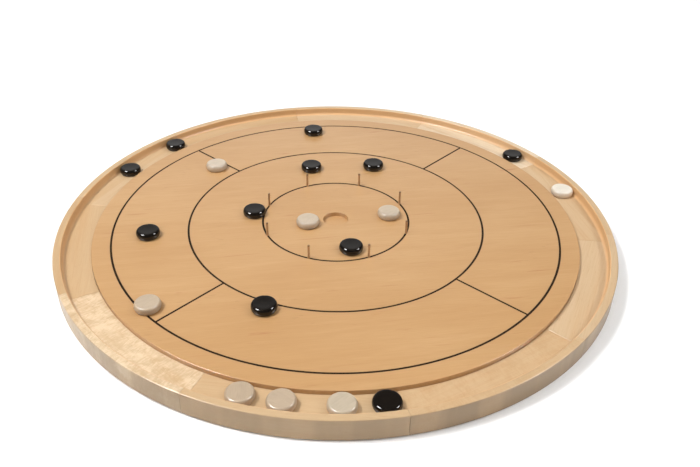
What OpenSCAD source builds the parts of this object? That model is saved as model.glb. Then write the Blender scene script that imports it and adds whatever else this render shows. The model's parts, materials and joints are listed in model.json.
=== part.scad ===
// Crokinole board with its discs as they lie in the middle of a game.
// Origin: centre of the board on the surface that it stands on, +Z up.
// The four quadrant lines run at 45 degrees to the X and Y axes.

/* [Deck] */
// Diameter of the round playing deck
deck_d = 660; // [650:1:662]
// Thickness of the plywood deck
deck_t = 12; // [10:0.5:14]
// Height of the deck's top above the ditch floor
deck_rise = 5.5; // [4:0.5:8]
// Diameter of the scoring hole in the middle
hole_d = 35; // [34:0.5:38]
// Depth of the scoring hole
hole_depth = 6; // [4:0.5:8]

/* [Lines] */
// Radius of the inner line circle, where the pegs stand
inner_line_r = 101.6; // [95:0.1:110]
// Radius of the middle line circle
middle_line_r = 203.2; // [190:0.1:215]
// Radius of the outer line circle
outer_line_r = 304.8; // [290:0.1:310]
// Width of every line
line_w = 2.8; // [1:0.2:2.8]
// Depth of the line inlay
line_depth = 0.8; // [0.5:0.1:1.5]

/* [Ring] */
// Outer diameter of the ring, which is the whole board's width
ring_d = 753; // [745:1:765]
// Height of the ring from its underside to the rim's top
ring_h = 28; // [26:0.5:32]
// Width of the rim's top
rim_w = 10; // [8:0.5:14]
// Height of the rim's top above the ditch floor
rim_rise = 12; // [9:0.5:14]
// Radius of the cove between the ditch floor and the rim's wall
cove_r = 4; // [3:0.5:4.5]
// Inner radius of the ledge that carries the deck
ledge_r = 306; // [295:1:312]
// Radius of the eased edges of the rim
edge_r = 1.5; // [0.5:0.5:3]
// Angle of the first seam between segments
first_seam = 26.8; // [0:0.1:36]

/* [Pegs] */
// Diameter of a peg
peg_d = 3.2; // [3:0.1:4]
// Height of a peg above the deck
peg_h = 20; // [15:1:25]
// Length of a peg that is pressed into the deck
peg_seat = 8; // [6:0.5:9]

/* [Discs] */
// Diameter of a disc
disc_d = 31.8; // [30:0.1:32.5]
// Thickness of a disc
disc_t = 10; // [8:0.5:11]
// Radius of a disc's rounded edge
disc_edge_r = 3; // [2:0.5:4]
// Depth of the dish in each face of a disc
dish_depth = 0.2; // [0.1:0.1:0.8]
// Radius of the circle that the discs in the ditch lie on
ditch_disc_r = 349.4; // [346.6:0.1:349.4]

/* [Feet and fastenings] */
// Diameter of a foot pad
foot_d = 22; // [15:1:30]
// Thickness of a foot pad
foot_t = 1; // [0.8:0.2:3]
// Diameter of a joint dowel
dowel_d = 8; // [6:1:10]
// Length of a joint dowel
dowel_l = 30; // [24:2:40]
// Thread diameter of a deck screw
screw_d = 4; // [3.5:0.5:4]
// Length of a deck screw
screw_l = 17; // [14:1:18]

/* [Hidden] */

// Colours
maple = [0.91, 0.80, 0.65];
veneer = [0.85, 0.69, 0.50];
line_brown = [0.17, 0.09, 0.05];
bronze = [0.50, 0.33, 0.20];
dark = [0.05, 0.05, 0.05];
cream = [0.87, 0.80, 0.71];
steel = [0.70, 0.70, 0.72];
rubber = [0.12, 0.12, 0.12];

// Heights above the standing surface
rim_top_z = foot_t + ring_h;
floor_z = rim_top_z - rim_rise;
deck_z = floor_z + deck_rise;
deck_under_z = deck_z - deck_t;

// Radii
outer_r = ring_d / 2;
wall_r = outer_r - rim_w;
deck_r = deck_d / 2;

// Gap between the deck's edge and the ring, and between two segments
deck_gap = 0.3;
seam_gap = 0.2;
// How much wider than its hole a peg's foot is, on the radius
press = 0.02;
// Gap between a straight line's ends and the line circles
line_fit = 0.02;
// Overshoot of a cutting shape
cut = 1;
// Steps in a full turn, from the smallest rounds to the largest
fine = 48;
smooth = 96;
ring_smooth = 360;
dish_smooth = 720;

segment_count = 10;
segment_angle = 360 / segment_count;
seam_angle = 360 * seam_gap / (2 * PI * outer_r);

peg_count = 8;
first_peg = 22.5;
peg_tip = 0.4;

quadrant_count = 4;
quadrant_angle = 360 / quadrant_count;
first_quadrant = 45;

dowel_r = 348;
dowel_z = foot_t + 8;
glue_gap = 0.05;
// Room past each end of a dowel
dowel_room = 1;

screw_ring_r = 317;
screw_head_d = 8;
screw_head_h = 2.4;
screw_tip = 4;
screw_point_r = 0.3;
// How far a screw's head lies inside the ring's underside
screw_sink = 0.1;
screw_gap = 0.15;
screw_head_gap = 0.3;
slot_w = 1;
slot_l = 4.4;
slot_depth = 1.6;

// One foot pad in the middle of every second segment
foot_count = segment_count / 2;
foot_ring_r = 360;

dish_edge_r = 10.5;
dish_sphere_r = (dish_edge_r * dish_edge_r + dish_depth * dish_depth) / (2 * dish_depth);

// Where the discs on the deck lie, in X and Y
dark_on_deck = [
    [-27, 277], [-32, 147], [65, 150], [-254, -35], [-114, 16], [17, -77], [-92, -196]
];
light_on_deck = [[-180, 154], [-39, -13], [75, 6], [-228, -190]];
// Angles of the discs that lie in the ditch
dark_in_ditch = [32.2, 137.1, 154, -83.8];
light_in_ditch = [11.6, -108.6, -101.4, -91.3];

// ---- Deck ----

module ring_2d(r, w) {
    difference() {
        circle(r = r + w / 2, $fn = ring_smooth);
        circle(r = r - w / 2, $fn = ring_smooth);
    }
}

// One flat ring of line material, from the deck's top down
module line_ring(r, depth, above) {
    translate([0, 0, deck_z - depth])
        linear_extrude(depth + above)
            ring_2d(r, line_w);
}

// The four straight lines between the middle and outer circles
module quadrant_bars(depth, above, inset) {
    bar_start = middle_line_r + line_w / 2 + inset;
    bar_end = outer_line_r - line_w / 2 - inset;
    for (i = [0 : quadrant_count - 1])
        rotate([0, 0, first_quadrant + quadrant_angle * i])
            translate([bar_start, -line_w / 2, deck_z - depth])
                cube([bar_end - bar_start, line_w, depth + above]);
}

module deck() {
    color(veneer)
        difference() {
            translate([0, 0, deck_under_z])
                cylinder(r = deck_r, h = deck_t, $fn = ring_smooth);
            translate([0, 0, deck_z - hole_depth])
                cylinder(d = hole_d, h = hole_depth + cut, $fn = smooth);
            line_ring(inner_line_r, line_depth, cut);
            line_ring(middle_line_r, line_depth, cut);
            line_ring(outer_line_r, line_depth, cut);
            quadrant_bars(line_depth, cut, -line_w / 2);
            peg_holes();
            screw_pilot_holes();
        }
}

module inner_line() {
    color(line_brown)
        difference() {
            line_ring(inner_line_r, line_depth, 0);
            peg_holes();
        }
}

module middle_line() {
    color(line_brown)
        line_ring(middle_line_r, line_depth, 0);
}

module outer_line() {
    color(line_brown)
        line_ring(outer_line_r, line_depth, 0);
}

module quadrant_lines() {
    color(line_brown)
        quadrant_bars(line_depth, 0, line_fit);
}

// ---- Pegs ----

module at_peg(i) {
    rotate([0, 0, first_peg + 360 / peg_count * i])
        translate([inner_line_r, 0, deck_z])
            children();
}

module peg_holes() {
    for (i = [0 : peg_count - 1])
        at_peg(i)
            translate([0, 0, -peg_seat])
                cylinder(d = peg_d, h = peg_seat + cut, $fn = fine);
}

// A plain pin with a small chamfer at its tip
module peg(i) {
    color(bronze)
        at_peg(i)
            rotate_extrude($fn = fine)
                polygon([
                    [0, -peg_seat],
                    [peg_d / 2 + press, -peg_seat],
                    [peg_d / 2 + press, -line_depth],
                    [peg_d / 2, -line_depth],
                    [peg_d / 2, peg_h - peg_tip],
                    [peg_d / 2 - peg_tip, peg_h],
                    [0, peg_h]
                ]);
}

// ---- Ring ----

// Rounds the corner at x, z; at no turn it is the upper outer corner
module edge_cutter(x, z, turn) {
    translate([x, z])
        rotate(turn)
            translate([-edge_r, -edge_r])
                difference() {
                    square(edge_r + cut);
                    circle(r = edge_r, $fn = fine);
                }
}

module ring_profile() {
    difference() {
        translate([ledge_r, foot_t])
            square([outer_r - ledge_r, ring_h]);
        // Rebate for the deck
        translate([ledge_r - cut, deck_under_z])
            square([deck_r + deck_gap - ledge_r + cut, ring_h]);
        // Ditch with a cove at the foot of the rim's wall
        translate([ledge_r - cut, floor_z])
            square([wall_r - cove_r - ledge_r + cut, ring_h]);
        translate([ledge_r - cut, floor_z + cove_r])
            square([wall_r - ledge_r + cut, ring_h]);
        translate([wall_r - cove_r, floor_z + cove_r])
            circle(r = cove_r, $fn = fine);
        edge_cutter(outer_r, rim_top_z, 0);
        edge_cutter(wall_r, rim_top_z, 90);
        edge_cutter(outer_r, foot_t, -90);
    }
}

module ring_segment(i) {
    color(maple)
        difference() {
            rotate([0, 0, first_seam + segment_angle * i + seam_angle / 2])
                rotate_extrude(angle = segment_angle - seam_angle, $fn = ring_smooth)
                    ring_profile();
            dowel_hole(i);
            dowel_hole(i + 1);
            screw_clearance_hole(i);
        }
}

// ---- Dowels in the seams ----

module at_seam(i) {
    rotate([0, 0, first_seam + segment_angle * i])
        translate([dowel_r, 0, dowel_z])
            rotate([90, 0, 0])
                children();
}

module dowel_hole(i) {
    at_seam(i)
        cylinder(d = dowel_d + 2 * glue_gap, h = dowel_l + 2 * dowel_room, center = true, $fn = fine);
}

module joint_dowels() {
    color(veneer)
        for (i = [0 : segment_count - 1])
            at_seam(i)
                cylinder(d = dowel_d, h = dowel_l, center = true, $fn = fine);
}

// ---- Screws that hold the deck down on the ledge ----

module at_screw(i) {
    rotate([0, 0, first_seam + segment_angle * (i + 0.5)])
        translate([screw_ring_r, 0, foot_t])
            children();
}

module screw_clearance_hole(i) {
    at_screw(i) {
        translate([0, 0, -cut])
            cylinder(d = screw_d + 2 * screw_gap, h = ring_h, $fn = fine);
        translate([0, 0, -screw_gap])
            cylinder(
                d1 = screw_head_d + 2 * screw_head_gap,
                d2 = screw_d + 2 * screw_gap,
                h = screw_head_h + 2 * screw_gap,
                $fn = fine
            );
    }
}

module screw_pilot_holes() {
    for (i = [0 : segment_count - 1])
        at_screw(i)
            cylinder(d = screw_d + screw_gap, h = screw_l + cut, $fn = fine);
}

module deck_screws() {
    color(steel)
        for (i = [0 : segment_count - 1])
            at_screw(i)
                difference() {
                    rotate_extrude($fn = fine)
                        polygon([
                            [0, screw_sink],
                            [screw_head_d / 2, screw_sink],
                            [screw_d / 2, screw_head_h],
                            [screw_d / 2, screw_l - screw_tip],
                            [screw_point_r, screw_l],
                            [0, screw_l]
                        ]);
                    translate([-slot_l / 2, -slot_w / 2, -cut])
                        cube([slot_l, slot_w, slot_depth + cut]);
                    translate([-slot_w / 2, -slot_l / 2, -cut])
                        cube([slot_w, slot_l, slot_depth + cut]);
                }
}

// ---- Foot pads ----

module foot_pads() {
    color(rubber)
        for (i = [0 : foot_count - 1])
            rotate([0, 0, first_seam + segment_angle * (2 * i + 0.5)])
                translate([foot_ring_r, 0, 0])
                    cylinder(d = foot_d, h = foot_t, $fn = fine);
}

// ---- Discs ----

module disc_profile() {
    difference() {
        union() {
            square([disc_d / 2 - disc_edge_r, disc_t]);
            translate([0, disc_edge_r])
                square([disc_d / 2, disc_t - 2 * disc_edge_r]);
            translate([disc_d / 2 - disc_edge_r, disc_edge_r])
                circle(r = disc_edge_r, $fn = fine);
            translate([disc_d / 2 - disc_edge_r, disc_t - disc_edge_r])
                circle(r = disc_edge_r, $fn = fine);
        }
        translate([0, disc_t - dish_depth + dish_sphere_r])
            circle(r = dish_sphere_r, $fn = dish_smooth);
        translate([0, dish_depth - dish_sphere_r])
            circle(r = dish_sphere_r, $fn = dish_smooth);
    }
}

// A round disc with rounded edges and both faces slightly dished
module disc() {
    rotate_extrude($fn = smooth)
        disc_profile();
}

module deck_disc(place) {
    translate([place.x, place.y, deck_z])
        disc();
}

module ditch_disc(angle) {
    rotate([0, 0, angle])
        translate([ditch_disc_r, 0, floor_z])
            disc();
}

module dark_disc(i) {
    color(dark)
        if (i < len(dark_on_deck))
            deck_disc(dark_on_deck[i]);
        else
            ditch_disc(dark_in_ditch[i - len(dark_on_deck)]);
}

module light_disc(i) {
    color(cream)
        if (i < len(light_on_deck))
            deck_disc(light_on_deck[i]);
        else
            ditch_disc(light_in_ditch[i - len(light_on_deck)]);
}

// ---- Drawing ----

deck();
inner_line();
middle_line();
outer_line();
quadrant_lines();
ring_segment(0);  // ring_segment_01
ring_segment(1);  // ring_segment_02
ring_segment(2);  // ring_segment_03
ring_segment(3);  // ring_segment_04
ring_segment(4);  // ring_segment_05
ring_segment(5);  // ring_segment_06
ring_segment(6);  // ring_segment_07
ring_segment(7);  // ring_segment_08
ring_segment(8);  // ring_segment_09
ring_segment(9);  // ring_segment_10
joint_dowels();
deck_screws();
foot_pads();
peg(0);  // peg_1
peg(1);  // peg_2
peg(2);  // peg_3
peg(3);  // peg_4
peg(4);  // peg_5
peg(5);  // peg_6
peg(6);  // peg_7
peg(7);  // peg_8
dark_disc(0);  // dark_disc_01
dark_disc(1);  // dark_disc_02
dark_disc(2);  // dark_disc_03
dark_disc(3);  // dark_disc_04
dark_disc(4);  // dark_disc_05
dark_disc(5);  // dark_disc_06
dark_disc(6);  // dark_disc_07
dark_disc(7);  // dark_disc_08
dark_disc(8);  // dark_disc_09
dark_disc(9);  // dark_disc_10
dark_disc(10);  // dark_disc_11
light_disc(0);  // light_disc_01
light_disc(1);  // light_disc_02
light_disc(2);  // light_disc_03
light_disc(3);  // light_disc_04
light_disc(4);  // light_disc_05
light_disc(5);  // light_disc_06
light_disc(6);  // light_disc_07
light_disc(7);  // light_disc_08
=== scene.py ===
"""The looks of the crokinole board: veneered deck, maple ring, line inlays, pegs and discs."""

import json
import math
import random

import bmesh
import bpy
from mathutils import Matrix, Vector


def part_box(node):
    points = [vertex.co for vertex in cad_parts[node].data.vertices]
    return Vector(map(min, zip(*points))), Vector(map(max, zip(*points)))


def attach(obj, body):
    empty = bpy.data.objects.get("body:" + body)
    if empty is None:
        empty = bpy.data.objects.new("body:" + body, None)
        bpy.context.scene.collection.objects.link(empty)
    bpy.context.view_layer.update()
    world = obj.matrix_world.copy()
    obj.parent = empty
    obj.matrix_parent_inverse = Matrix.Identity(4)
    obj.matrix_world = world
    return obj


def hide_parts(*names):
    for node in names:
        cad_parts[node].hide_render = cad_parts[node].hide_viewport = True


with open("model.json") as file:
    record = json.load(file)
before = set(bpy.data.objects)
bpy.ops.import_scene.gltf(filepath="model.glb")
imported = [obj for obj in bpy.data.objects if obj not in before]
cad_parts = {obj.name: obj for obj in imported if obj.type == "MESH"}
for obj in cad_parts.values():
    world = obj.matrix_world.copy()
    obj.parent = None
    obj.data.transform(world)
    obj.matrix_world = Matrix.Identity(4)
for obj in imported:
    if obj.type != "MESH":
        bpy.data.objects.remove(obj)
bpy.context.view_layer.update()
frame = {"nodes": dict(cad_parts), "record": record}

MM = 0.001
BOARD = "board"

# ---- Sizes that the frame's boxes don't give, in metres ----

LINE_WIDTH = 2.8 * MM
LINE_DEPTH = 0.8 * MM
LINE_SINK = 0.04 * MM
LINE_FIT = 0.01 * MM
LINE_EASE = 0.12 * MM
RIM_WIDTH = 10 * MM
RIM_EDGE = 1.5 * MM
COVE = 4 * MM
HOLE_EDGE = 0.5 * MM
DECK_EDGE = 0.6 * MM
DECK_GAP = 0.3 * MM
SEAM_BEVEL = 0.3 * MM
LEDGE_EDGE = 0.6 * MM
PEG_SEAT_SWELL = 0.02 * MM
PEG_FOOT_EDGE = 0.2 * MM
PEG_TIP = 0.4 * MM
DOWEL_CLEARANCE = 0.05 * MM
DOWEL_SPARE = 1 * MM
SCREW_CLEARANCE = 0.15 * MM
SCREW_SHANK = 2 * MM
SCREW_HEAD_HEIGHT = 2.4 * MM
PILOT_SPARE = 1 * MM
DISC_EDGE = 2.9 * MM
DISH_RADIUS = 10.5 * MM
DISH_DEPTH = 0.2 * MM

# How far a supporting point stands from an edge, and how far a cutter reaches past its cut
SUPPORT = 0.35 * MM
OVERSHOOT = 2 * MM
SAME_POINT = 1e-7

# Shading, and the number of steps in a full turn or along an edge
SMOOTH_ANGLE = math.radians(32)
FINE_TURN = 360
DISC_TURN = 96
PEG_TURN = 40
EDGE_STEPS = 28
DISH_STEPS = 8
SEGMENT_STEPS = 44

SEGMENT_COUNT = 10
PEG_COUNT = 8
DARK_COUNT = 11
LIGHT_COUNT = 8

ring_names = [f"ring_segment_{i + 1:02d}" for i in range(SEGMENT_COUNT)]
peg_names = [f"peg_{i + 1}" for i in range(PEG_COUNT)]
dark_names = [f"dark_disc_{i + 1:02d}" for i in range(DARK_COUNT)]
light_names = [f"light_disc_{i + 1:02d}" for i in range(LIGHT_COUNT)]


# ---- Reading the frame ----

def node_points(node):
    return [v.co for v in frame["nodes"][node].data.vertices]


def radii(node):
    """The smallest and the largest distance of a node's points from the board's axis."""
    distances = [math.hypot(p.x, p.y) for p in node_points(node)]
    return min(distances), max(distances)


def middle(node):
    low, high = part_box(node)
    return (low + high) / 2


def separate_boxes(node):
    """The lowest and highest corners of each separate solid in a node."""
    shape = bmesh.new()
    shape.from_mesh(frame["nodes"][node].data)
    bmesh.ops.remove_doubles(shape, verts=shape.verts, dist=1e-6)
    left = set(shape.verts)
    boxes = []
    while left:
        reached = [left.pop()]
        for vertex in reached:
            for edge in vertex.link_edges:
                other = edge.other_vert(vertex)
                if other in left:
                    left.remove(other)
                    reached.append(other)
        corners = [[f(v.co[axis] for v in reached) for axis in range(3)] for f in (min, max)]
        boxes.append((Vector(corners[0]), Vector(corners[1])))
    shape.free()
    return sorted(boxes, key=lambda b: math.atan2(b[0].y + b[1].y, b[0].x + b[1].x))


# ---- Mesh building ----

def arc(centre_r, centre_z, radius, start, end, steps):
    """Points along an arc in the (r, z) plane, angles in degrees."""
    points = []
    for i in range(steps + 1):
        angle = math.radians(start + (end - start) * i / steps)
        points.append((centre_r + radius * math.cos(angle), centre_z + radius * math.sin(angle)))
    return points


def oval_edge(flat_r, depth, half):
    """Half an oval from a disc's lower face to its upper one, depth wide and twice half tall."""
    points = []
    for i in range(EDGE_STEPS + 1):
        angle = math.pi * (i / EDGE_STEPS - 0.5)
        points.append((flat_r + depth * math.cos(angle), half + half * math.sin(angle)))
    return points


def supported(start, end, inset=SUPPORT):
    """A straight run with a point near each end, so round edges beside it keep their shading."""
    length = math.hypot(end[0] - start[0], end[1] - start[1])
    share = inset / length
    near = tuple(a + (b - a) * share for a, b in zip(start, end))
    far = tuple(b + (a - b) * share for a, b in zip(start, end))
    return [start, near, far, end]


def joined(*runs):
    """One outline from several runs, without the points that two runs share."""
    outline = []
    for run in runs:
        for point in run:
            if not outline or math.dist(point, outline[-1]) > SAME_POINT:
                outline.append(point)
    if math.dist(outline[0], outline[-1]) < SAME_POINT:
        outline.pop()
    return outline


def finish_mesh(mesh):
    """Outward normals, smooth round faces and sharp corners."""
    shape = bmesh.new()
    shape.from_mesh(mesh)
    bmesh.ops.recalc_face_normals(shape, faces=shape.faces)
    shape.to_mesh(mesh)
    shape.free()
    mesh.shade_smooth()
    mesh.set_sharp_from_angle(angle=SMOOTH_ANGLE)


def new_object(name, points, faces):
    mesh = bpy.data.meshes.new(name)
    mesh.from_pydata(points, [], faces)
    finish_mesh(mesh)
    piece = bpy.data.objects.new(name, mesh)
    bpy.context.scene.collection.objects.link(piece)
    return piece


def lathe(name, profile, steps, closed=False):
    """Turns a profile of (r, z) points about Z. A closed profile makes a ring off the axis."""
    points = []
    rings = []
    for r, z in profile:
        if r < SAME_POINT:
            rings.append([len(points)] * steps)
            points.append((0, 0, z))
        else:
            rings.append(list(range(len(points), len(points) + steps)))
            for i in range(steps):
                angle = 2 * math.pi * i / steps
                points.append((r * math.cos(angle), r * math.sin(angle), z))
    faces = []
    for k in range(len(rings) if closed else len(rings) - 1):
        a, b = rings[k], rings[(k + 1) % len(rings)]
        for i in range(steps):
            j = (i + 1) % steps
            corners = [a[i], a[j], b[j], b[i]]
            faces.append(list(dict.fromkeys(corners)))
    return new_object(name, points, faces)


def sweep(name, profile, columns):
    """Turns a closed profile through part of a circle. Each column is an angle and an inset."""
    count = len(profile)
    normals = []
    for k in range(count):
        before, after = profile[k - 1], profile[(k + 1) % count]
        along = (after[0] - before[0], after[1] - before[1])
        length = math.hypot(*along)
        normals.append((-along[1] / length, along[0] / length))
    points = []
    for angle, inset in columns:
        for (r, z), (n_r, n_z) in zip(profile, normals):
            inset_r = r + n_r * inset
            points.append((inset_r * math.cos(angle), inset_r * math.sin(angle), z + n_z * inset))
    faces = []
    for c in range(len(columns) - 1):
        for k in range(count):
            n = (k + 1) % count
            faces.append([c * count + k, c * count + n, (c + 1) * count + n, (c + 1) * count + k])
    faces.append(list(range(count)))
    faces.append(list(range((len(columns) - 1) * count, len(columns) * count)))
    return new_object(name, points, faces)


def cylinder(name, radius, low, high, place, steps=PEG_TURN, turn=None):
    """A plain round cutter along Z, then turned and put in place."""
    tool = lathe(name, [(0, low), (radius, low), (radius, high), (0, high)], steps)
    tool.data.transform(Matrix.Translation(place) @ (turn or Matrix.Identity(4)))
    return tool


def carve(piece, tools):
    """Cuts the tools out of the piece and deletes them."""
    group = bpy.data.collections.new("tools")
    for tool in tools:
        bpy.context.scene.collection.objects.unlink(tool)
        group.objects.link(tool)
    bpy.context.scene.collection.children.link(group)
    cut = piece.modifiers.new("cut", "BOOLEAN")
    cut.operation = "DIFFERENCE"
    cut.solver = "EXACT"
    cut.operand_type = "COLLECTION"
    cut.collection = group
    graph = bpy.context.evaluated_depsgraph_get()
    carved = bpy.data.meshes.new_from_object(piece.evaluated_get(graph))
    piece.modifiers.clear()
    rough = piece.data
    piece.data = carved
    bpy.data.meshes.remove(rough)
    for tool in tools:
        bpy.data.meshes.remove(tool.data)
    bpy.data.collections.remove(group)
    carved.name = piece.name
    carved.materials.clear()
    carved.shade_smooth()
    carved.set_sharp_from_angle(angle=SMOOTH_ANGLE)


# ---- Node materials ----

class Look:
    """A Principled material whose colour, roughness and bump come from nodes."""

    def __init__(self, name, **constants):
        self.material = bpy.data.materials.new(name)
        self.material.use_nodes = True
        self.tree = self.material.node_tree
        self.shader = next(n for n in self.tree.nodes if n.type == "BSDF_PRINCIPLED")
        self.local = self.add("ShaderNodeTexCoord").outputs["Object"]
        for socket, value in constants.items():
            self.shader.inputs[socket.replace("_", " ")].default_value = value

    def add(self, kind, sockets=None, **settings):
        node = self.tree.nodes.new(kind)
        for key, value in settings.items():
            setattr(node, key, value)
        for key, value in (sockets or {}).items():
            self.feed(node.inputs[key], value)
        return node

    def feed(self, socket, value):
        if isinstance(value, bpy.types.NodeSocket):
            self.tree.links.new(value, socket)
        else:
            socket.default_value = value

    def calc(self, operation, *values):
        node = self.add("ShaderNodeMath", operation=operation)
        for socket, value in zip(node.inputs, values):
            self.feed(socket, value)
        return node.outputs[0]

    def placed(self, scale, turn=0.0, shift=(0, 0, 0), source=None):
        """Local coordinates turned about Z and then stretched."""
        turned = self.add(
            "ShaderNodeMapping",
            {"Vector": source or self.local, "Rotation": (0, 0, -turn), "Location": shift},
        )
        stretched = self.add(
            "ShaderNodeMapping", {"Vector": turned.outputs[0], "Scale": scale}
        )
        return stretched.outputs[0]

    def noise(self, vector, scale=1.0, detail=3.0, rough=0.5, distortion=0.0):
        node = self.add(
            "ShaderNodeTexNoise",
            {
                "Vector": vector,
                "Scale": scale,
                "Detail": detail,
                "Roughness": rough,
                "Distortion": distortion,
            },
        )
        return node.outputs["Fac"]

    def ranged(self, value, low, high, to_low=0.0, to_high=1.0):
        """Maps low..high to another range, with soft ends."""
        node = self.add(
            "ShaderNodeMapRange",
            {
                "Value": value,
                "From Min": low,
                "From Max": high,
                "To Min": to_low,
                "To Max": to_high,
            },
            interpolation_type="SMOOTHSTEP",
        )
        return node.outputs["Result"]

    def mixed(self, share, first, second, mode="MIX"):
        node = self.add("ShaderNodeMix", data_type="RGBA", blend_type=mode)
        self.feed(node.inputs[0], share)
        colours = [socket for socket in node.inputs if socket.type == "RGBA"]
        for socket, value in zip(colours, (first, second)):
            self.feed(socket, value if isinstance(value, bpy.types.NodeSocket) else (*value, 1.0))
        return next(socket for socket in node.outputs if socket.type == "RGBA")

    def split(self, vector=None):
        node = self.add("ShaderNodeSeparateXYZ", {"Vector": vector or self.local})
        return node.outputs

    def distance_from_axis(self):
        x, y, _ = self.split()
        squares = [self.calc("MULTIPLY", part, part) for part in (x, y)]
        return self.calc("SQRT", self.calc("ADD", *squares))

    def relief(self, *layers):
        """Chained bumps. Each layer is a height, its depth in metres and its strength."""
        normal = None
        for height, depth, strength in layers:
            node = self.add(
                "ShaderNodeBump", {"Height": height, "Distance": depth, "Strength": strength}
            )
            if normal is not None:
                self.feed(node.inputs["Normal"], normal)
            normal = node.outputs["Normal"]
        self.feed(self.shader.inputs["Normal"], normal)

    def colour(self, value):
        self.feed(self.shader.inputs["Base Color"], value)

    def roughness(self, value):
        self.feed(self.shader.inputs["Roughness"], value)


def deck_veneer():
    """Clear-lacquered veneer: faint uneven grain, short flecks and a few mineral streaks."""
    look = Look("deck_veneer", Coat_Weight=1.0, Coat_Roughness=0.2, IOR=1.3)
    grain = math.radians(6)
    plain, bright = (0.518, 0.293, 0.121), (0.559, 0.331, 0.147)
    dark_grain, light_grain = (0.460, 0.245, 0.093), (0.611, 0.376, 0.182)
    fibre_dark, fleck_brown = (0.407, 0.219, 0.087), (0.336, 0.175, 0.078)
    streak_red = (0.425, 0.188, 0.078)
    cloud = look.noise(look.placed((3.0, 7.0, 1), grain), detail=3)
    tone = look.mixed(look.ranged(cloud, 0.32, 0.70), plain, bright)
    figure = look.noise(look.placed((5, 48, 1), grain), detail=5, rough=0.68, distortion=0.5)
    tone = look.mixed(look.ranged(figure, 0.38, 0.72, 0.0, 0.34), tone, dark_grain)
    light = look.placed((6, 70, 1), grain, (2, 8, 0))
    light = look.noise(light, detail=4, rough=0.65, distortion=0.6)
    tone = look.mixed(look.ranged(light, 0.48, 0.75, 0.0, 0.28), tone, light_grain)
    fine = look.noise(look.placed((26, 800, 1), grain), detail=3, rough=0.65)
    tone = look.mixed(look.ranged(fine, 0.32, 0.72, 0.0, 0.22), tone, fibre_dark)
    patches = look.noise(look.placed((5, 9, 1), grain, (3, 1, 0)), detail=2)
    flecks = look.noise(look.placed((60, 600, 1), grain, (7, 2, 0)), detail=1, rough=0.4)
    flecks = look.calc(
        "MULTIPLY", look.ranged(flecks, 0.66, 0.76), look.ranged(patches, 0.45, 0.62)
    )
    tone = look.mixed(look.calc("MULTIPLY", flecks, 0.45), tone, fleck_brown)
    streaks = look.noise(look.placed((12, 170, 1), grain, (1, 5, 0)), detail=2, distortion=0.6)
    streaks = look.ranged(streaks, 0.66, 0.78)
    tone = look.mixed(look.calc("MULTIPLY", streaks, 0.65), tone, streak_red)
    look.colour(tone)
    look.roughness(look.ranged(fine, 0.2, 0.8, 0.42, 0.54))
    look.relief((fine, 0.03 * MM, 0.3), (flecks, 0.02 * MM, 0.3))
    return look.material


def line_inlay():
    """Dark brown inlay with a worn, slightly uneven colour."""
    look = Look("line_inlay", IOR=1.3, Specular_IOR_Level=0.12)
    wear = look.noise(look.local, 90, 4, 0.6)
    fine = look.noise(look.local, 900, 2, 0.5)
    dark, worn, dust = (0.014, 0.008, 0.005), (0.034, 0.018, 0.010), (0.055, 0.030, 0.017)
    tone = look.mixed(look.ranged(wear, 0.35, 0.75), dark, worn)
    look.colour(look.mixed(look.ranged(fine, 0.4, 0.8, 0.0, 0.4), tone, dust))
    look.roughness(look.ranged(wear, 0.2, 0.8, 0.52, 0.68))
    look.relief((fine, 0.03 * MM, 0.4))
    return look.material


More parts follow.
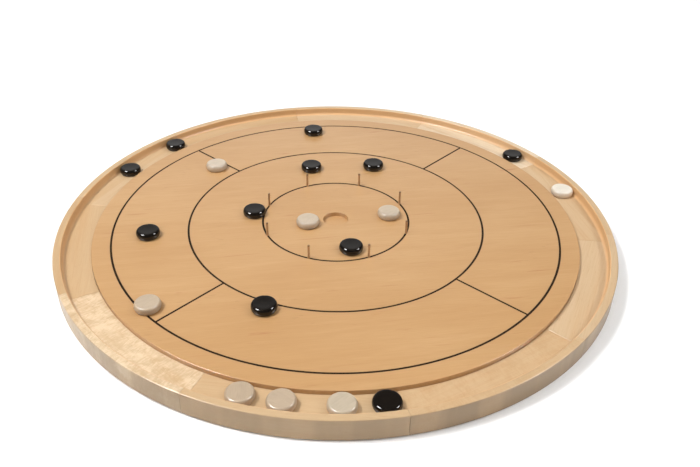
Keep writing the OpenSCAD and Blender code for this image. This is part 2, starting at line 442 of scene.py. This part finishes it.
def maple(name, seed, tangent, warmth=0.5, curl=0.0, wavy=0.0, paleness=0.0, face=0.6):
    """Clear-lacquered hard maple. tangent is the direction of the grain in the XY plane."""
    look = Look(name, Coat_Weight=0.35, Coat_Roughness=0.18, IOR=1.35)
    draw = random.Random(seed)
    shift = tuple(draw.uniform(-5, 5) for _ in range(3))

    def grained(*scale):
        return look.placed(scale, tangent, shift)

    cream = (0.555 + 0.06 * paleness, 0.386 + 0.079 * paleness, 0.216 + 0.083 * paleness)
    warm, ring_brown, fibre_dark = (0.51, 0.318, 0.155), (0.50, 0.290, 0.128), (0.44, 0.260, 0.120)
    pore_brown, curl_bright = (0.42, 0.24, 0.12), (0.94, 0.78, 0.56)
    wall_amber, face_shade_umber = (0.78, 0.45, 0.20), (0.33, 0.225, 0.125)
    cloud = look.noise(grained(4, 14, 14), detail=2)
    warming = look.ranged(cloud, 0.30, 0.72, 0.10 + 0.25 * warmth, 0.35 + 0.5 * warmth)
    tone = look.mixed(warming, cream, warm)
    rings = grained(1.5 + 5 * wavy, 75, 110)
    rings = look.noise(rings, detail=5, rough=0.62, distortion=0.2 + 1.2 * wavy)
    tone = look.mixed(look.ranged(rings, 0.42, 0.74, 0.0, 0.42), tone, ring_brown)
    fine = look.noise(grained(22, 700, 700), detail=3, rough=0.6)
    tone = look.mixed(look.ranged(fine, 0.35, 0.75, 0.0, 0.24), tone, fibre_dark)
    pores = look.noise(grained(90, 1100, 1100), detail=1, rough=0.4)
    pores = look.ranged(pores, 0.66, 0.76)
    tone = look.mixed(look.calc("MULTIPLY", pores, 0.35), tone, pore_brown)
    layers = [(fine, 0.025 * MM, 0.3)]
    if curl:
        ripple = look.noise(grained(210, 60, 60), detail=4, rough=0.65, distortion=1.8)
        blotch = look.noise(grained(30, 36, 36), detail=4, rough=0.6, distortion=1.0)
        figure = look.calc("MULTIPLY_ADD", ripple, 0.45, look.calc("MULTIPLY", blotch, 0.55))
        figure = look.ranged(figure, 0.40, 0.62)
        tone = look.mixed(look.calc("MULTIPLY", figure, 0.42 * curl), tone, curl_bright)
        layers.append((figure, 0.12 * MM, 0.35 * curl))

    # The inner wall and its cove are warmer, and the outer face is darkened with painted shade
    across = look.distance_from_axis()
    wall = look.ranged(across, wall_r - 4.5 * MM, wall_r - 1 * MM)
    rim = look.ranged(across, wall_r + 0.4 * MM, wall_r + 1.6 * MM)
    wall = look.calc("MULTIPLY", wall, look.calc("SUBTRACT", 1.0, rim))
    tone = look.mixed(look.calc("MULTIPLY", wall, 0.7), tone, wall_amber)
    # Painted shade: the outer face is darkened towards umber, by an amount that varies from block
    # to block
    side = look.ranged(across, outer_r - 0.8 * MM, outer_r - 0.2 * MM)
    blocks = look.noise(grained(16, 2, 2), detail=3, rough=0.6)
    blocks = look.ranged(blocks, 0.38, 0.62, 0.65 * face, 1.30 * face)
    tone = look.mixed(look.calc("MULTIPLY", side, blocks), tone, face_shade_umber)
    look.colour(tone)
    look.roughness(look.ranged(cloud, 0.25, 0.75, 0.38, 0.50))
    look.relief(*layers)
    return look.material


def black_lacquer(name, seed, wear):
    """Black-stained hardwood under a gloss lacquer, with rubbed edges and faint grain."""
    look = Look(name, IOR=1.46)
    draw = random.Random(seed)
    shift = tuple(draw.uniform(-5, 5) for _ in range(3))
    turn = draw.uniform(0, math.pi)
    grain = look.noise(look.placed((60, 900, 300), turn, shift), detail=3, rough=0.6)
    smear = look.noise(look.placed((40, 40, 40), turn, shift), detail=3, rough=0.6)
    black, brown_black = (0.0060, 0.0042, 0.0030), (0.012, 0.0085, 0.0056)
    rubbed_grey = (0.05, 0.04, 0.032)
    tone = look.mixed(look.ranged(grain, 0.35, 0.8), black, brown_black)
    across = look.distance_from_axis()
    rise = look.ranged(across, disc_r - 2.9 * MM, disc_r - 2.1 * MM)
    fall = look.ranged(across, disc_r - 0.5 * MM, disc_r - 1.3 * MM)
    rubbed = look.calc("MULTIPLY", rise, fall)
    rubbed = look.calc("MULTIPLY", rubbed, look.ranged(smear, 0.50, 0.72))
    look.colour(look.mixed(look.calc("MULTIPLY", rubbed, wear), tone, rubbed_grey))
    look.roughness(look.ranged(smear, 0.3, 0.75, 0.03, 0.07))
    look.relief((grain, 0.01 * MM, 0.25))
    return look.material


def pale_disc_maple(name, seed, paleness):
    """Natural pale maple: straight grain across the face, satin lacquer, a darker and browner edge.
    """
    look = Look(name, Coat_Weight=0.3, Coat_Roughness=0.2, IOR=1.46)
    draw = random.Random(seed)
    shift = tuple(draw.uniform(-5, 5) for _ in range(3))
    turn = draw.uniform(0, math.pi)
    pink = draw.uniform(0.0, 1.0)
    lift = 0.26 * paleness
    base = (0.475 + 0.025 * pink + lift, 0.390 + 1.1 * lift, 0.282 + 1.1 * lift)
    cloud = look.noise(look.placed((50, 130, 90), turn, shift), detail=3, rough=0.6)
    shaded, fibre_dark = (tuple(share * part for part in base) for share in (0.88, 0.74))
    edge_brown = (0.52, 0.37, 0.23)
    tone = look.mixed(look.ranged(cloud, 0.35, 0.70, 0.0, 0.6), base, shaded)
    fine = look.noise(look.placed((70, 1500, 500), turn, shift), detail=3, rough=0.6)
    tone = look.mixed(look.ranged(fine, 0.40, 0.75, 0.0, 0.35), tone, fibre_dark)
    # The side and rounded edge are darker and browner
    across = look.distance_from_axis()
    side = look.ranged(across, disc_r - 2.7 * MM, disc_r)
    tone = look.mixed(look.calc("MULTIPLY", side, 0.3), tone, edge_brown)
    look.colour(tone)
    look.roughness(look.ranged(cloud, 0.3, 0.75, 0.34, 0.46))
    look.relief((fine, 0.02 * MM, 0.35))
    return look.material


def aged_shaded_bronze():
    """Bronze-plated pins with turned rings and uneven tone, and a tip darkened with painted shade.
    """
    look = Look("peg_bronze", Metallic=0.5)
    _, _, height = look.split()
    turning = look.noise(look.placed((30, 30, 4000)), detail=2, rough=0.5)
    age = look.noise(look.local, 260, 4, 0.6)
    dark, bright, tip_shade_brown = (0.42, 0.250, 0.125), (0.56, 0.36, 0.19), (0.15, 0.085, 0.045)
    tone = look.mixed(look.ranged(age, 0.35, 0.7), dark, bright)
    # Painted shade: the rounded tip darkens towards brown
    tip = look.ranged(height, peg_top - 2.5 * MM, peg_top)
    tone = look.mixed(look.calc("MULTIPLY", tip, 0.65), tone, tip_shade_brown)
    look.colour(tone)
    look.roughness(look.ranged(age, 0.3, 0.75, 0.42, 0.60))
    look.relief((turning, 0.02 * MM, 0.3))
    return look.material


def plain_beech():
    look = Look("dowel_wood", IOR=1.45)
    grain = look.noise(look.local, 220, 4, 0.6)
    flecks = look.noise(look.local, 900, 2, 0.5)
    tan, pale, fleck_brown = (0.60, 0.41, 0.24), (0.68, 0.50, 0.32), (0.42, 0.25, 0.13)
    tone = look.mixed(look.ranged(grain, 0.3, 0.7), tan, pale)
    look.colour(look.mixed(look.ranged(flecks, 0.55, 0.75, 0.0, 0.5), tone, fleck_brown))
    look.roughness(look.ranged(grain, 0.2, 0.8, 0.6, 0.75))
    look.relief((grain, 0.05 * MM, 0.4))
    return look.material


def zinc_steel():
    look = Look("screw_steel", Metallic=1.0)
    spangle = look.noise(look.local, 700, 3, 0.6)
    stain = look.noise(look.local, 160, 3, 0.6)
    dull, bright, stain_brown = (0.46, 0.46, 0.47), (0.66, 0.66, 0.68), (0.40, 0.36, 0.30)
    tone = look.mixed(look.ranged(spangle, 0.3, 0.7), dull, bright)
    look.colour(look.mixed(look.ranged(stain, 0.5, 0.8, 0.0, 0.5), tone, stain_brown))
    look.roughness(look.ranged(spangle, 0.3, 0.8, 0.28, 0.46))
    look.relief((spangle, 0.01 * MM, 0.3))
    return look.material


def foot_rubber():
    look = Look("foot_rubber", IOR=1.5)
    pebble = look.noise(look.local, 1200, 3, 0.6)
    dust = look.noise(look.local, 120, 4, 0.6)
    black, dusty = (0.014, 0.014, 0.015), (0.055, 0.052, 0.048)
    look.colour(look.mixed(look.ranged(dust, 0.45, 0.8), black, dusty))
    look.roughness(look.ranged(dust, 0.3, 0.8, 0.72, 0.9))
    look.relief((pebble, 0.05 * MM, 0.5))
    return look.material


def give(piece, material, slot, body, *nodes):
    """Finishes a piece: its material, the body it rides on and the nodes it stands for. slot is not
    used.
    """
    piece.data.materials.clear()
    piece.data.materials.append(material)
    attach(piece, body)
    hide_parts(*nodes)


# ---- Frame measures ----

deck_low, deck_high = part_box("deck")
deck_r = deck_high.x
deck_top = deck_high.z
deck_under = deck_low.z
ring_low, ring_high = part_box(ring_names[0])
ring_under = ring_low.z
rim_top = ring_high.z
ledge_r, outer_r = radii(ring_names[0])
wall_r = outer_r - RIM_WIDTH
ditch_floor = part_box(dark_names[-1])[0].z
circle_nodes = ("inner_line", "middle_line", "outer_line")
line_rs = {n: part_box(n)[1].x - LINE_WIDTH / 2 for n in circle_nodes}
hole = next(m for m in frame["record"]["mounts"] if m["name"] == "centre_hole")
hole_r = hole["dims"]["r_mm"] * MM
hole_depth = hole["dims"]["length_mm"] * MM
quadrant_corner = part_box("quadrant_lines")[1]
peg_low, peg_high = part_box(peg_names[0])
peg_r = (peg_high.x - peg_low.x) / 2 - PEG_SEAT_SWELL
peg_top = peg_high.z
disc_low, disc_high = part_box(dark_names[0])
disc_r = (disc_high.x - disc_low.x) / 2
screw_boxes = separate_boxes("deck_screws")
dowel_boxes = separate_boxes("joint_dowels")


def foot_point(node):
    """The point of the resting plane under a node's middle."""
    return (middle(node).x, middle(node).y, 0)


def peg_holes(radius):
    top = deck_top + OVERSHOOT
    return [cylinder("peg_hole", radius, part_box(n)[0].z, top, foot_point(n)) for n in peg_names]


# ---- Deck ----

def deck_profile():
    edge = DECK_EDGE
    under_edge = arc(deck_r - edge, deck_under + edge, edge, -90, 0, 5)
    top_edge = arc(deck_r - edge, deck_top - edge, edge, 0, 90, 6)
    hole_edge = arc(hole_r + HOLE_EDGE, deck_top - HOLE_EDGE, HOLE_EDGE, 90, 180, 5)
    hole_floor = deck_top - hole_depth
    flat_start = (deck_r - 20 * MM, deck_under)
    runs = [[(0, deck_under)], supported(flat_start, under_edge[0]), under_edge]
    runs += [supported(under_edge[-1], top_edge[0]), top_edge]
    last = top_edge[-1]
    for line in reversed(circle_nodes):
        out, into = line_rs[line] + LINE_WIDTH / 2, line_rs[line] - LINE_WIDTH / 2
        runs += [supported(last, (out, deck_top))]
        runs += [[(out, deck_top - LINE_DEPTH), (into, deck_top - LINE_DEPTH), (into, deck_top)]]
        last = (into, deck_top)
    hole_foot = (hole_r, hole_floor)
    runs += [supported(last, hole_edge[0]), hole_edge, supported(hole_edge[-1], hole_foot)]
    runs += [[(hole_r - SUPPORT, hole_floor), (hole_r / 2, hole_floor), (0, hole_floor)]]
    return joined(*runs)


def bar_cutter(turn):
    """A box that cuts the groove of one quadrant line, from the middle to the outer circle."""
    start, end = line_rs["middle_line"], line_rs["outer_line"]
    half = LINE_WIDTH / 2
    low, high = deck_top - LINE_DEPTH, deck_top + OVERSHOOT
    points = [(x, y, z) for x in (start, end) for y in (-half, half) for z in (low, high)]
    faces = [[0, 1, 3, 2], [4, 5, 7, 6], [0, 1, 5, 4], [2, 3, 7, 6], [0, 2, 6, 4], [1, 3, 7, 5]]
    tool = new_object("bar_cutter", points, faces)
    tool.data.transform(Matrix.Rotation(turn, 4, "Z"))
    return tool


quadrant_turn = math.atan2(quadrant_corner.y, quadrant_corner.x)
quadrant_turns = [quadrant_turn + math.pi / 2 * i for i in range(4)]


def make_deck():
    deck = lathe("playing_deck", deck_profile(), FINE_TURN)
    tools = [bar_cutter(t) for t in quadrant_turns] + peg_holes(peg_r)
    for low, high in screw_boxes:
        centre = (low + high) / 2
        place = (centre.x, centre.y, 0)
        radius = SCREW_SHANK + SCREW_CLEARANCE / 2
        tools.append(cylinder("pilot", radius, low.z, high.z + PILOT_SPARE, place))
    carve(deck, tools)
    give(deck, deck_veneer(), "deck_veneer", BOARD, "deck")


# ---- Line inlays ----

def make_line_circles(material):
    top = deck_top - LINE_SINK
    low = deck_top - LINE_DEPTH
    half = LINE_WIDTH / 2 - LINE_FIT
    for node, r in line_rs.items():
        profile = [(r - half, low), (r + half, low)]
        profile += [(r + half, top - LINE_EASE), (r + half - LINE_EASE, top)]
        profile += [(r - half + LINE_EASE, top), (r - half, top - LINE_EASE)]
        circle = lathe(f"{node}_inlay", profile, FINE_TURN, closed=True)
        if node == "inner_line":
            carve(circle, peg_holes(peg_r))
        give(circle, material, "line_inlay", BOARD, node)


def make_quadrant_lines(material):
    """Four straight inlays in one piece, their ends shaped to the line circles."""
    top = deck_top - LINE_SINK
    low = deck_top - LINE_DEPTH
    half = LINE_WIDTH / 2 - LINE_FIT
    start_r = line_rs["middle_line"] + LINE_WIDTH / 2 + LINE_FIT
    end_r = line_rs["outer_line"] - LINE_WIDTH / 2 - LINE_FIT
    outline = [(-half, low), (0, low), (half, low)]
    outline += [(half, top - LINE_EASE), (half - LINE_EASE, top), (0, top)]
    outline += [(-half + LINE_EASE, top), (-half, top - LINE_EASE)]
    count = len(outline)
    points = []
    faces = []
    for turn in quadrant_turns:
        first = len(points)
        for r in (start_r, end_r):
            for y, z in outline:
                x = math.sqrt(r * r - y * y)
                points.append(Matrix.Rotation(turn, 3, "Z") @ Vector((x, y, z)))
        for k in range(count):
            n = (k + 1) % count
            faces.append([first + k, first + n, first + count + n, first + count + k])
        faces.append([first + k for k in range(count)])
        faces.append([first + count + k for k in range(count)])
    lines = new_object("quadrant_line_inlays", points, faces)
    give(lines, material, "line_inlay", BOARD, "quadrant_lines")


# ---- Ring ----

def ring_profile():
    """One segment's section: rim, wall, cove, ditch floor, rebate and ledge."""
    edge = RIM_EDGE
    foot_inner = arc(ledge_r + LEDGE_EDGE, ring_under + LEDGE_EDGE, LEDGE_EDGE, 180, 270, 3)
    foot_outer = arc(outer_r - edge, ring_under + edge, edge, -90, 0, 7)
    top_outer = arc(outer_r - edge, rim_top - edge, edge, 0, 90, 7)
    top_inner = arc(wall_r + edge, rim_top - edge, edge, 90, 180, 7)
    cove = arc(wall_r - COVE, ditch_floor + COVE, COVE, 0, -90, 9)
    rebate_r = deck_r + DECK_GAP
    step = LEDGE_EDGE / 2
    floor_edge = arc(rebate_r + step, ditch_floor - step, step, 90, 180, 3)
    return joined(
        foot_inner,
        supported(foot_inner[-1], foot_outer[0]),
        foot_outer,
        supported(foot_outer[-1], top_outer[0]),
        top_outer,
        supported(top_outer[-1], top_inner[0]),
        top_inner,
        supported(top_inner[-1], cove[0]),
        cove,
        supported(cove[-1], floor_edge[0]),
        floor_edge,
        [(rebate_r, deck_under), (ledge_r, deck_under)],
    )


def segment_span(node):
    """The angles at which a segment starts and ends, from its outermost points."""
    angles = [math.atan2(p.y, p.x) for p in node_points(node)]
    facing = math.atan2(middle(node).y, middle(node).x)
    turns = [(a - facing + math.pi) % (2 * math.pi) - math.pi for a in angles]
    return facing + min(turns), facing + max(turns)


def segment_columns(start, end):
    """The angle and inset of each section of a segment, bevelled at both seams."""
    bevel = SEAM_BEVEL / outer_r
    support = (SEAM_BEVEL + SUPPORT) / outer_r
    columns = [(start, SEAM_BEVEL), (start + bevel, 0), (start + support, 0)]
    inner_start, inner_end = start + support, end - support
    turn = (inner_end - inner_start) / SEGMENT_STEPS
    columns += [(inner_start + turn * i, 0) for i in range(1, SEGMENT_STEPS)]
    return columns + [(end - support, 0), (end - bevel, 0), (end, SEAM_BEVEL)]


def dowel_cutter(low, high):
    centre = (low + high) / 2
    along = math.atan2(centre.y, centre.x) + math.pi / 2
    length = math.hypot(high.x - low.x, high.y - low.y)
    radius = (high.z - low.z) / 2
    turn = Matrix.Rotation(along, 4, "Z") @ Matrix.Rotation(math.pi / 2, 4, "Y")
    reach = length / 2 + DOWEL_SPARE
    return cylinder("dowel_hole", radius + DOWEL_CLEARANCE, -reach, reach, centre, turn=turn)


def screw_cutter(low, high):
    """Clearance hole and countersink for one deck screw."""
    centre = (low + high) / 2
    head = (high.x - low.x) / 2
    shank = SCREW_SHANK + SCREW_CLEARANCE
    profile = [
        (0, ring_under - OVERSHOOT),
        (head + 2 * SCREW_CLEARANCE, ring_under - OVERSHOOT),
        (head + 2 * SCREW_CLEARANCE, ring_under - SCREW_CLEARANCE),
        (shank, ring_under + SCREW_HEAD_HEIGHT + SCREW_CLEARANCE),
        (shank, deck_under + OVERSHOOT),
        (0, deck_under + OVERSHOOT),
    ]
    tool = lathe("screw_hole", profile, PEG_TURN)
    tool.data.transform(Matrix.Translation((centre.x, centre.y, 0)))
    return tool


def within(box, start, end):
    """Whether a box lies between two angles or close to one of them."""
    centre = (box[0] + box[1]) / 2
    turn = (math.atan2(centre.y, centre.x) - start) % (2 * math.pi)
    reach = math.radians(2)
    return turn < end - start + reach or turn > 2 * math.pi - reach


# Each segment's own character: how warm, curly, wavy and pale it is, and how much painted shade
# darkens its outer face
SEGMENT_LOOKS = [
    # Segments 01 and 02 are paler partly as painted sheen, where the backdrop's glare lights the
    # far ditch; the rest is their own tone
    {"warmth": -0.2, "curl": 0.25, "paleness": 2.6},
    {"warmth": 0.0, "wavy": 0.3, "paleness": 1.3},
    {"warmth": 0.60, "wavy": 0.1, "paleness": 0.3},
    {"warmth": 0.30, "paleness": 0.6},
    {"warmth": 0.55, "wavy": 0.1, "paleness": 0.2},
    {"warmth": 0.15, "curl": 1.0, "paleness": 0.65},
    {"warmth": 0.35, "wavy": 0.1, "paleness": 0.3},
    {"warmth": 0.55, "wavy": 1.0, "curl": 0.2, "paleness": 0.1, "face": 0.85},
    {"warmth": 0.15, "wavy": 0.2, "paleness": 0.9, "face": 1.0},
    {"warmth": 0.25, "wavy": 0.3, "paleness": 0.9, "face": 1.0},
]


def make_ring():
    profile = ring_profile()
    for i, node in enumerate(ring_names):
        start, end = segment_span(node)
        segment = sweep(f"maple_segment_{i + 1:02d}", profile, segment_columns(start, end))
        tools = [screw_cutter(*b) for b in screw_boxes if within(b, start, end)]
        tools += [dowel_cutter(*b) for b in dowel_boxes if within(b, start, end)]
        carve(segment, tools)
        tangent = (start + end) / 2 + math.pi / 2
        look = maple(f"ring_maple_{i + 1:02d}", 40 + i, tangent, **SEGMENT_LOOKS[i])
        give(segment, look, "ring_maple", BOARD, node)


# ---- Pegs ----

def make_pegs(material):
    for i, node in enumerate(peg_names):
        low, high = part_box(node)
        foot_r = peg_r + PEG_SEAT_SWELL
        seat = deck_top - LINE_DEPTH
        tip = arc(peg_r - PEG_TIP, high.z - PEG_TIP, PEG_TIP, 0, 90, 5)
        foot_edge = [(foot_r - PEG_FOOT_EDGE, low.z), (foot_r, low.z + PEG_FOOT_EDGE)]
        profile = joined(
            [(0, low.z), *foot_edge, (foot_r, seat - SUPPORT)],
            supported((peg_r, seat), tip[0]),
            tip,
            [(peg_r / 2, high.z), (0, high.z)],
        )
        peg = lathe(f"bronze_peg_{i + 1}", profile, PEG_TURN)
        peg.location = foot_point(node)
        give(peg, material, "peg_bronze", BOARD, node)


# ---- Discs ----

def disc_profile(radius, thickness):
    """Section of a disc with two dished faces, from the lower face's middle to the upper's."""
    sphere = (DISH_RADIUS ** 2 + DISH_DEPTH ** 2) / (2 * DISH_DEPTH)
    dish = []
    for i in range(DISH_STEPS + 1):
        r = DISH_RADIUS * i / DISH_STEPS
        dish.append((r, sphere - math.sqrt(sphere * sphere - r * r)))
    flat_r = radius - DISC_EDGE
    lower = [(r, DISH_DEPTH - z) for r, z in dish]
    upper = [(r, thickness - DISH_DEPTH + z) for r, z in reversed(dish)]
    edge = oval_edge(flat_r, DISC_EDGE, thickness / 2)
    return joined(lower, supported(lower[-1], edge[0]), edge, supported(edge[-1], upper[0]), upper)


# How far each dark disc's edge is rubbed, and how pale each light disc's wood is
DARK_WEAR = [0.4, 0.5, 0.3, 0.5, 0.6, 0.4, 0.5, 0.3, 0.6, 0.4, 0.5]
LIGHT_PALENESS = [0.3, 0.15, 0.12, -0.02, 1.12, -0.14, -0.09, 0.08]


def make_discs(nodes, kind, slot, material, seed, characters):
    for i, (node, character) in enumerate(zip(nodes, characters)):
        low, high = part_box(node)
        radius = (high.x - low.x) / 2
        name = f"{kind}_{i + 1:02d}"
        disc = lathe(name, disc_profile(radius, high.z - low.z), DISC_TURN)
        disc.location = (middle(node).x, middle(node).y, low.z)
        give(disc, material(f"{slot}_{i + 1:02d}", seed + i, character), slot, node, node)


# ---- Pieces that stay as the frame has them ----

def keep_node(node, material):
    data = frame["nodes"][node].data
    data.materials.clear()
    data.materials.append(material)


# ---- Studio ----

AMBIENT = 0.09
BACKDROP = 0.9
BACKDROP_LIFT = math.radians(8)
BACKDROP_SPREAD = math.radians(36)
FLOOR_REACH = 12

# Each lamp faces the deck's middle unless it has a target. Sizes in metres, energy in watts
LAMPS = {
    "top": {
        "place": (0, -1.2, 4),
        "target": (0, -1.2, 0),
        "size": (13, 8),
        "watts": 280,
        "lights": "matt",
    },
    "key": {"place": (-1.3, -0.2, 2.25), "size": (0.5, 0.5), "watts": 46, "lights": "matt"},
    "second": {"place": (1.55, -0.22, 1.35), "size": (0.35, 0.35), "watts": 9, "lights": "matt"},
    "left_glint": {
        "place": (-1.45, -0.5, 1.8),
        "size": (0.8, 0.7),
        "watts": 115,
        "lights": "gloss",
    },
    "right_glint": {"place": (1.55, -0.3, 1.4), "size": (0.6, 0.6), "watts": 42, "lights": "gloss"},
    "back": {
        "place": (0, 3.6, 3),
        "target": (0, 3.6, 0),
        "size": (6, 1.5),
        "watts": 80,
        "spread": math.radians(90),
    },
}


def area_light(name, place, size, watts, target=None, spread=math.pi, lights="all"):
    """A soft rectangular lamp. lights is "all", or "matt" or "gloss" for one part of the looks."""
    facing = Vector(target or (0, 0, deck_top)) - Vector(place)
    data = bpy.data.lights.new(name, "AREA")
    data.shape = "RECTANGLE"
    data.size, data.size_y = size
    data.energy = watts
    data.spread = spread
    lamp = bpy.data.objects.new(name, data)
    lamp.location = place
    lamp.rotation_euler = facing.to_track_quat("-Z", "Y").to_euler()
    lamp.visible_diffuse = lights != "gloss"
    lamp.visible_glossy = lights != "matt"
    bpy.context.scene.collection.objects.link(lamp)


def make_world():
    """Dim all round, with a soft bright lobe low behind the board, as from a white backdrop."""
    world = bpy.data.worlds.new("studio")
    bpy.context.scene.world = world
    world.use_nodes = True
    tree = world.node_tree
    direction = tree.nodes.new("ShaderNodeTexCoord").outputs["Generated"]
    facing = tree.nodes.new("ShaderNodeVectorMath")
    facing.operation = "DOT_PRODUCT"
    facing.inputs[1].default_value = (0, math.cos(BACKDROP_LIFT), math.sin(BACKDROP_LIFT))
    tree.links.new(direction, facing.inputs[0])
    lobe = tree.nodes.new("ShaderNodeMapRange")
    lobe.inputs["From Min"].default_value = math.cos(BACKDROP_SPREAD)
    lobe.inputs["From Max"].default_value = 1
    lobe.inputs["To Min"].default_value = AMBIENT
    lobe.inputs["To Max"].default_value = BACKDROP
    tree.links.new(facing.outputs["Value"], lobe.inputs["Value"])
    tree.links.new(lobe.outputs["Result"], tree.nodes["Background"].inputs["Strength"])
    tree.nodes["Background"].inputs["Color"].default_value = (1, 1, 1, 1)


def make_studio():
    turns = ((-1, -1), (1, -1), (1, 1), (-1, 1))
    points = [(x * FLOOR_REACH, y * FLOOR_REACH, 0) for x, y in turns]
    floor = new_object("studio_floor", points, [[0, 1, 2, 3]])
    look = Look("studio_floor", IOR=1.3)
    patches = look.noise(look.local, 2, 2)
    look.colour(look.mixed(patches, (0.96, 0.96, 0.965), (0.98, 0.98, 0.985)))
    look.roughness(look.ranged(patches, 0.2, 0.8, 0.85, 0.95))
    floor.data.materials.append(look.material)
    make_world()
    for name, lamp in LAMPS.items():
        area_light(name, **lamp)


# ---- Camera ----

# Azimuth from -Y towards +X, elevation and roll, and the distance to a point on the deck
CAMERA_AZIMUTH = math.radians(-2.65)
CAMERA_ELEVATION = math.radians(32.19)
CAMERA_ROLL = math.radians(0.6)
CAMERA_DISTANCE = 1.0375
CAMERA_AIM = (-0.0008, 0.0013)
CAMERA_LENS = 38.04
CAMERA_SENSOR = 36
CAMERA_SHIFT = (0.0212, -0.0215)
CAMERA_REACH = 100


def make_camera():
    back = Vector((math.sin(CAMERA_AZIMUTH), -math.cos(CAMERA_AZIMUTH), 0))
    back *= math.cos(CAMERA_ELEVATION)
    back.z = math.sin(CAMERA_ELEVATION)
    right = Vector((math.cos(CAMERA_AZIMUTH), math.sin(CAMERA_AZIMUTH), 0))
    up = back.cross(right)
    rolled_right = math.cos(CAMERA_ROLL) * right + math.sin(CAMERA_ROLL) * up
    rolled_up = math.cos(CAMERA_ROLL) * up - math.sin(CAMERA_ROLL) * right
    data = bpy.data.cameras.new("camera")
    data.lens = CAMERA_LENS
    data.sensor_width = CAMERA_SENSOR
    data.shift_x, data.shift_y = CAMERA_SHIFT
    data.clip_end = CAMERA_REACH
    camera = bpy.data.objects.new("camera", data)
    turn = Matrix((rolled_right, rolled_up, back)).transposed()
    place = Vector((*CAMERA_AIM, deck_top)) + back * CAMERA_DISTANCE
    camera.matrix_world = Matrix.Translation(place) @ turn.to_4x4()
    bpy.context.scene.collection.objects.link(camera)
    bpy.context.scene.camera = camera


# ---- Build ----

make_camera()
make_deck()
inlay = line_inlay()
make_line_circles(inlay)
make_quadrant_lines(inlay)
make_ring()
make_pegs(aged_shaded_bronze())
make_discs(dark_names, "black_disc", "dark_disc", black_lacquer, 100, DARK_WEAR)
make_discs(light_names, "maple_disc", "light_disc", pale_disc_maple, 200, LIGHT_PALENESS)
keep_node("joint_dowels", plain_beech())
keep_node("deck_screws", zinc_steel())
keep_node("foot_pads", foot_rubber())
make_studio()
bpy.context.scene.view_settings.view_transform = "Standard"
